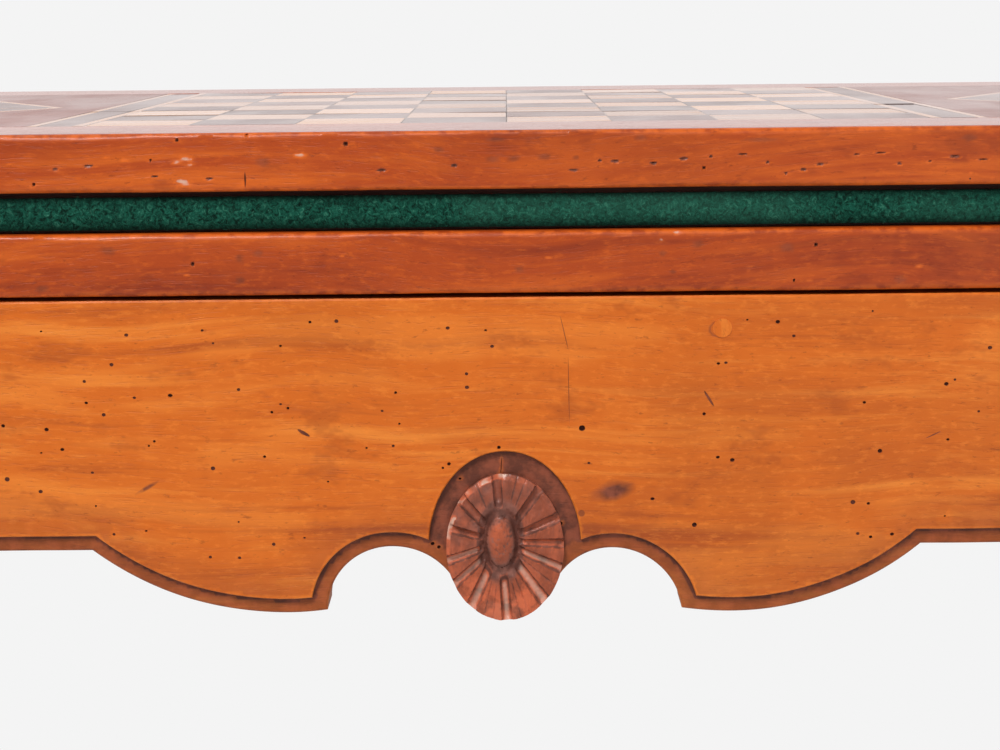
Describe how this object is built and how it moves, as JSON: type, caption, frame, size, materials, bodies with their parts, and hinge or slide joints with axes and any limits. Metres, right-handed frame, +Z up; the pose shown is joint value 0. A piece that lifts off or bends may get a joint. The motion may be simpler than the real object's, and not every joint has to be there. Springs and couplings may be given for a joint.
{
  "type": "fold-over chess table",
  "caption": "Games table with cabriole legs, a scalloped apron with an oval rosette, and a swivelling fold-over top: inlaid chess board outside, green baize inside.",
  "frame": {"origin": "on the floor under the middle of the closed top", "axes": "+X right along the front, +Y from front to back, +Z up"},
  "size_m": [0.86, 0.44, 0.76],
  "materials": {
    "apron_wood": "aged honey-brown fruitwood, waxed, with worm holes and wear on the edges",
    "carcase_wood": "plain dry softwood, unpolished",
    "leaf_wood": "reddish brown walnut, waxed, worn arrises",
    "light_inlay": "pale maple and boxwood, waxed",
    "dark_inlay": "dark walnut, waxed",
    "panel_veneer": "reddish walnut veneer, waxed",
    "baize": "green wool baize, worn and fuzzy at its edges",
    "felt": "thin dark felt",
    "brass": "old brass, dull and darkened in the corners",
    "iron": "wrought iron, dark, a little rust"
  },
  "bodies": {
    "frame": {"front_rail": "apron_wood", "rosette": "apron_wood", "back_rail": "carcase_wood", "left_rail": "apron_wood", "right_rail": "apron_wood", "leg_front_left": "apron_wood", "leg_front_right": "apron_wood", "leg_back_left": "apron_wood", "leg_back_right": "apron_wood", "joint_pegs": "apron_wood", "corner_blocks": "carcase_wood", "pivot_rail": "carcase_wood", "pivot_bush": "brass", "pivot_rail_plugs": "apron_wood", "well_boards": "carcase_wood", "well_cleats": "carcase_wood", "rub_pads": "felt"},
    "lower_leaf": {"lower_leaf": "leaf_wood", "lower_panel": "carcase_wood", "lower_baize": "baize", "pivot_plate": "iron", "pivot_bolt": "iron", "pivot_washer": "iron", "pivot_nut": "iron", "stop_peg": "carcase_wood", "hinge_plates_lower": "brass", "hinge_pins": "iron"},
    "top_leaf": {"top_leaf_core": "leaf_wood", "top_leaf_front_strip": "leaf_wood", "top_leaf_back_strip": "leaf_wood", "top_leaf_end_strips": "leaf_wood", "light_squares": "light_inlay", "dark_squares": "dark_inlay", "board_stringing": "light_inlay", "dark_bands": "dark_inlay", "outer_lines": "light_inlay", "side_panels": "panel_veneer", "lozenge_lines": "light_inlay", "lozenge_grounds": "dark_inlay", "star_points_light": "light_inlay", "star_points_dark": "dark_inlay", "upper_panel": "carcase_wood", "upper_baize": "baize", "hinge_plates_upper": "brass"}
  },
  "joints": [
    {"name": "top_swivel", "type": "hinge", "parent": "frame", "child": "lower_leaf", "pos_m": [0.1075, 0.1075, 0.7006], "axis": [0, 0, 1], "range_deg": [0, 90]},
    {"name": "leaf_fold", "type": "hinge", "parent": "lower_leaf", "child": "top_leaf", "pos_m": [0, 0.215, 0.7311], "axis": [-1, 0, 0], "range_deg": [0, 180]}
  ]
}
